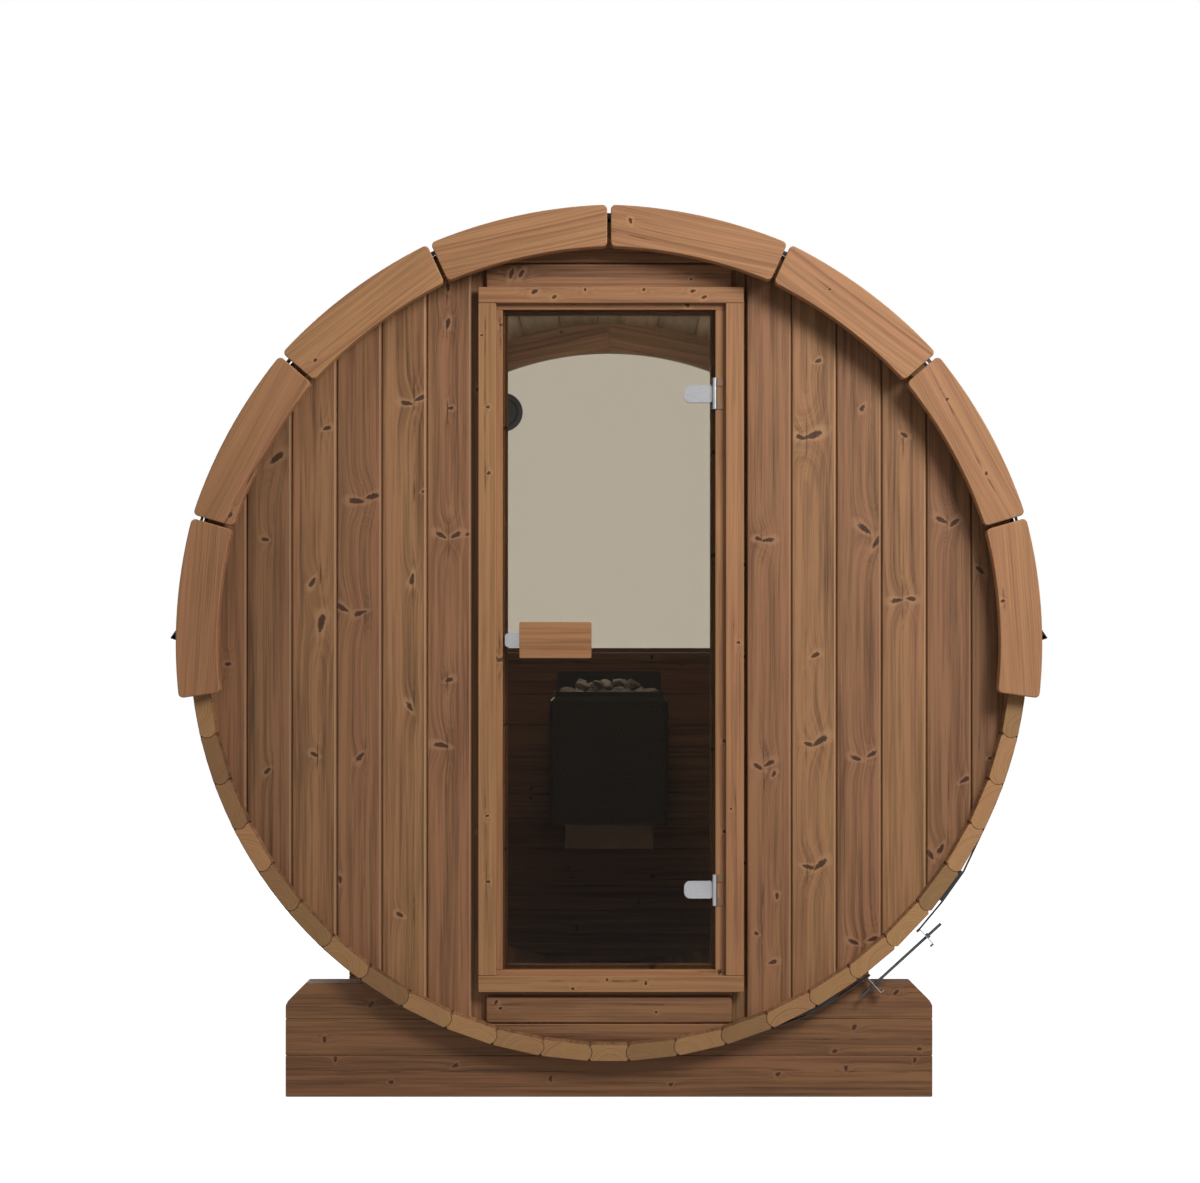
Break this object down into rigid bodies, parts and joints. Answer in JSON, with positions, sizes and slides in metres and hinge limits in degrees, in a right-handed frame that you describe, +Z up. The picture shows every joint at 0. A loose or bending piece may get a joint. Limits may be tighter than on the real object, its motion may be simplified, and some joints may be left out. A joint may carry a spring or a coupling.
{
  "type": "barrel sauna",
  "caption": "Barrel sauna of bead-and-cove staves on cradles, with a hinged glass door, half-moon rear window, wall heater and curved fascia boards.",
  "frame": {"origin": "on the ground under the middle of the barrel", "axes": "+X to the right seen from the door, +Y from the door to the rear window, +Z up"},
  "size_m": [2.232, 1.914, 2.2735],
  "materials": {
    "stave_wood": "thermally treated softwood, sawn ends paler",
    "wall_wood": "thermally treated softwood boards",
    "trim_wood": "planed, thermally treated",
    "cradle_wood": "glued planks, planed",
    "handle_wood": "planed and rounded",
    "door_glass": "bronze tinted, toughened",
    "window_glass": "clear, toughened",
    "hinge_metal": "satin chromed",
    "roof_black": "black roofing sheet",
    "black_metal": "black painted sheet",
    "strap_rubber": "black pad",
    "zinc_steel": "zinc plated",
    "heater_metal": "dark grey enamel",
    "control_metal": "brushed stainless sheet",
    "stone": "rough split stones",
    "vent_black": "matt"
  },
  "bodies": {
    "sauna": {"staves_floor": "stave_wood", "staves_right_lower": "stave_wood", "staves_left_lower": "stave_wood", "staves_right_upper": "stave_wood", "staves_left_upper": "stave_wood", "staves_crown": "stave_wood", "front_wall_left": "wall_wood", "front_wall_right": "wall_wood", "front_wall_top": "wall_wood", "front_wall_bottom": "wall_wood", "front_stud_left": "wall_wood", "front_stud_right": "wall_wood", "door_frame": "trim_wood", "door_casing": "trim_wood", "door_stops": "trim_wood", "hinge_plates": "hinge_metal", "rear_wall_lower": "wall_wood", "rear_wall_arch": "wall_wood", "rear_window_glass": "window_glass", "rear_window_bead": "trim_wood", "vent_valve": "vent_black", "heater_casing": "heater_metal", "heater_back_plate": "heater_metal", "heater_stones": "stone", "heater_control_box": "control_metal", "cradle_front": "cradle_wood", "cradle_rear": "cradle_wood", "roofing": "roof_black", "drip_edge_right": "black_metal", "drip_edge_left": "black_metal", "verge_trims": "black_metal", "fascia_front_right": "trim_wood", "fascia_front_left": "trim_wood", "fascia_rear_right": "trim_wood", "fascia_rear_left": "trim_wood", "strap_front": "black_metal", "strap_rear": "black_metal", "strap_pads": "strap_rubber", "strap_lugs": "zinc_steel", "tension_rods": "zinc_steel"},
    "door": {"door_glass": "door_glass", "hinge_leaves": "hinge_metal", "handle_outer": "handle_wood", "handle_inner": "handle_wood", "latch_plate": "hinge_metal"}
  },
  "joints": [
    {"name": "door_hinge", "type": "hinge", "parent": "sauna", "child": "door", "pos_m": [0.2707, -0.8718, 1.168], "axis": [0, 0, 1], "range_deg": [0, 110]}
  ]
}
